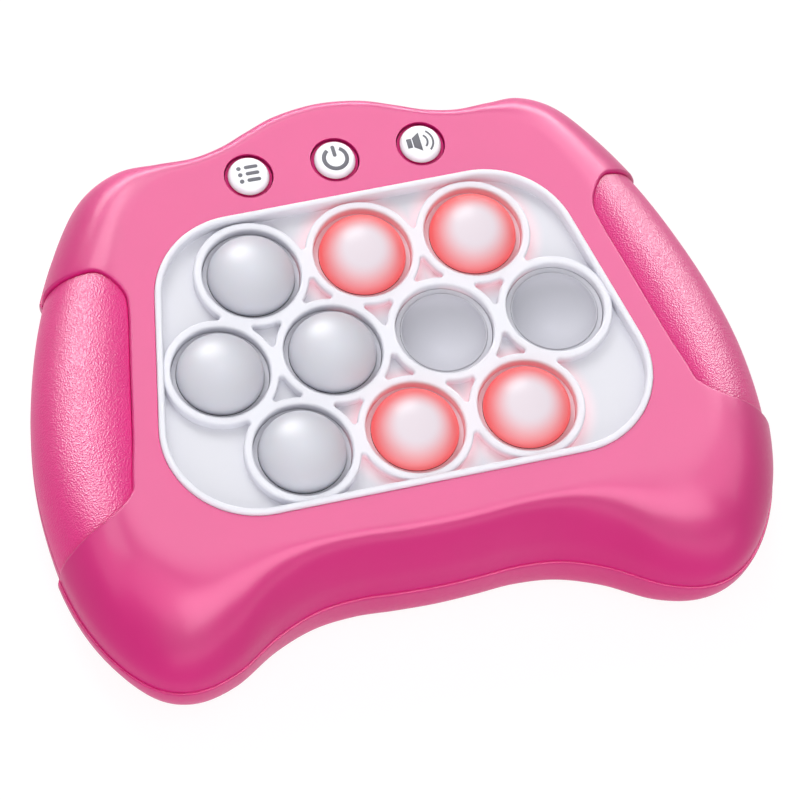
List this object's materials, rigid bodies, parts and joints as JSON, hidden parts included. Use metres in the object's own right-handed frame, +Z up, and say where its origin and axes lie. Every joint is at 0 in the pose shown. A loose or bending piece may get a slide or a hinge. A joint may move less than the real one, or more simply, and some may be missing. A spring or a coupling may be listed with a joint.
{
  "type": "push bubble game console",
  "caption": "Handheld electronic push-bubble game in a gamepad-shaped case, with lit pop bubbles in a ringed panel, round buttons in a hump, side grips and a battery door.",
  "frame": {"origin": "on the resting face under the centre of the bubble panel", "axes": "+X to the player's right, +Y away from the player towards the buttons, +Z up out of the panel"},
  "size_m": [0.1602, 0.1261, 0.0373],
  "materials": {
    "case": "glossy pink moulding",
    "grip": "grained, semi-gloss pink",
    "panel": "satin white",
    "silicone": "pearly grey, translucent",
    "lit_silicone": "translucent, lit red from below",
    "board": "green circuit board",
    "black_plastic": "matte black",
    "steel": "plain plated steel"
  },
  "bodies": {
    "housing": {"front_shell": "case", "rear_shell": "case", "left_grip": "grip", "right_grip": "grip", "panel_bezel": "panel", "bubble_sheet": "silicone", "light_frame": "panel", "main_board": "board", "bubble_lamps": "panel", "bubble_switches": "black_plastic", "button_board": "board", "button_switches": "black_plastic", "batteries": "steel", "battery_contacts": "steel", "speaker": "black_plastic", "case_screws": "steel", "frame_screws": "steel", "board_screws": "steel", "button_board_screws": "steel"},
    "bubble_1": {"bubble_1": "silicone"},
    "bubble_2": {"bubble_2": "lit_silicone"},
    "bubble_3": {"bubble_3": "lit_silicone"},
    "bubble_4": {"bubble_4": "silicone"},
    "bubble_5": {"bubble_5": "silicone"},
    "bubble_6": {"bubble_6": "silicone"},
    "bubble_7": {"bubble_7": "silicone"},
    "bubble_8": {"bubble_8": "silicone"},
    "bubble_9": {"bubble_9": "lit_silicone"},
    "bubble_10": {"bubble_10": "lit_silicone"},
    "menu_button": {"menu_button": "panel"},
    "power_button": {"power_button": "panel"},
    "sound_button": {"sound_button": "panel"},
    "battery_door": {"battery_door": "case", "door_screws": "steel"}
  },
  "joints": [
    {"name": "bubble_1_push", "type": "slide", "parent": "housing", "child": "bubble_1", "axis": [0, 0, 1], "range_m": [-0.012, 0]},
    {"name": "bubble_2_push", "type": "slide", "parent": "housing", "child": "bubble_2", "axis": [0, 0, 1], "range_m": [-0.012, 0]},
    {"name": "bubble_3_push", "type": "slide", "parent": "housing", "child": "bubble_3", "axis": [0, 0, 1], "range_m": [-0.012, 0]},
    {"name": "bubble_4_push", "type": "slide", "parent": "housing", "child": "bubble_4", "axis": [0, 0, 1], "range_m": [-0.012, 0]},
    {"name": "bubble_5_push", "type": "slide", "parent": "housing", "child": "bubble_5", "axis": [0, 0, 1], "range_m": [-0.012, 0]},
    {"name": "bubble_6_push", "type": "slide", "parent": "housing", "child": "bubble_6", "axis": [0, 0, 1], "range_m": [0, 0.012]},
    {"name": "bubble_7_push", "type": "slide", "parent": "housing", "child": "bubble_7", "axis": [0, 0, 1], "range_m": [0, 0.012]},
    {"name": "bubble_8_push", "type": "slide", "parent": "housing", "child": "bubble_8", "axis": [0, 0, 1], "range_m": [-0.012, 0]},
    {"name": "bubble_9_push", "type": "slide", "parent": "housing", "child": "bubble_9", "axis": [0, 0, 1], "range_m": [-0.012, 0]},
    {"name": "bubble_10_push", "type": "slide", "parent": "housing", "child": "bubble_10", "axis": [0, 0, 1], "range_m": [-0.012, 0]},
    {"name": "menu_press", "type": "slide", "parent": "housing", "child": "menu_button", "axis": [0, 0, -1], "range_m": [0, 0.0008], "stiffness_N_per_m": 1500},
    {"name": "power_press", "type": "slide", "parent": "housing", "child": "power_button", "axis": [0, 0, -1], "range_m": [0, 0.0008], "stiffness_N_per_m": 1500},
    {"name": "sound_press", "type": "slide", "parent": "housing", "child": "sound_button", "axis": [0, 0, -1], "range_m": [0, 0.0008], "stiffness_N_per_m": 1500},
    {"name": "battery_door_lift", "type": "slide", "parent": "housing", "child": "battery_door", "axis": [0, 0, -1], "range_m": [0, 0.03]}
  ]
}
